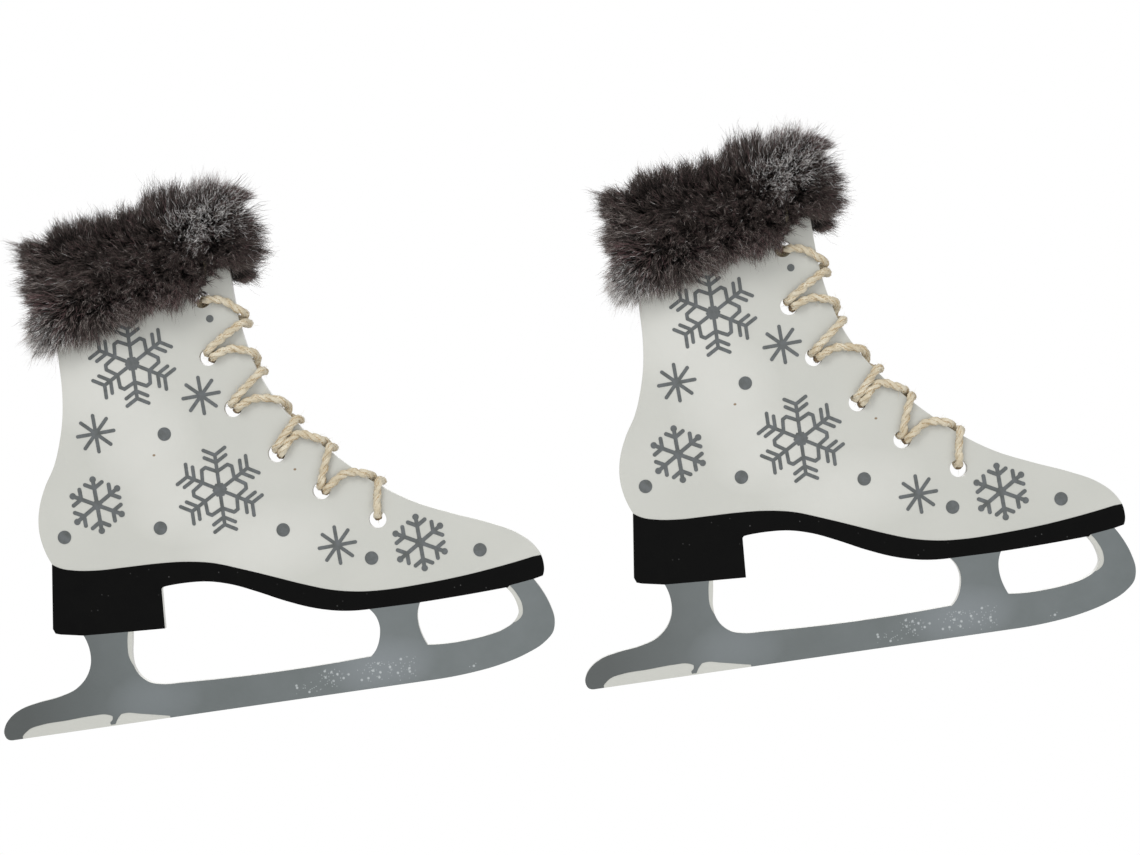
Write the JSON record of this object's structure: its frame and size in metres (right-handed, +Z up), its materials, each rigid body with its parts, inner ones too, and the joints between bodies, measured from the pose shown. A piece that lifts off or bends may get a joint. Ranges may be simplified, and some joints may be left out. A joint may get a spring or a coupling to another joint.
{
  "type": "ice skate ornament pair",
  "caption": "Flat cut-out ice skates with printed snowflakes, a wrapped fur cuff and a jute cord whip-laced down the front edge, hung as a pair.",
  "frame": {"origin": "middle of the straight lower edge of the left skate's blade, at the middle of the board's thickness", "axes": "+X towards the toes and the right skate, +Y into the wall that the backs face, +Z up as the pair hangs, toes tipped up 8.2 degrees"},
  "size_m": [0.4526, 0.026, 0.2435],
  "materials": {
    "board_paint": "satin off-white paint on 5 mm fibreboard",
    "black_ink": "satin black printing ink",
    "grey_ink": "satin mid-grey printing ink",
    "motif_ink": "satin dark grey printing ink",
    "glue": "set hot-melt glue, pale amber",
    "backing_cloth": "knitted backing cloth of a fake fur, dark brown",
    "fur": "long-pile fake fur, black-brown with silver tips",
    "jute": "two-ply natural jute twine, hairy"
  },
  "bodies": {
    "left_skate": {"left_board": "board_paint", "left_sole_print": "black_ink", "left_blade_print": "grey_ink", "left_large_snowflakes": "motif_ink", "left_branched_snowflakes": "motif_ink", "left_stars": "motif_ink", "left_dots": "motif_ink", "left_cuff_glue": "glue", "left_cuff_backing": "backing_cloth", "left_cuff_fur": "fur", "left_lace": "jute", "left_lace_knot": "jute"},
    "right_skate": {"right_board": "board_paint", "right_sole_print": "black_ink", "right_blade_print": "grey_ink", "right_large_snowflakes": "motif_ink", "right_branched_snowflakes": "motif_ink", "right_stars": "motif_ink", "right_dots": "motif_ink", "right_cuff_glue": "glue", "right_cuff_backing": "backing_cloth", "right_cuff_fur": "fur", "right_lace": "jute", "right_lace_knot": "jute"}
  },
  "joints": [
    {"name": "right_skate_lift", "type": "slide", "parent": "left_skate", "child": "right_skate", "axis": [0, 0, 1], "range_m": [0, 0.04]}
  ]
}
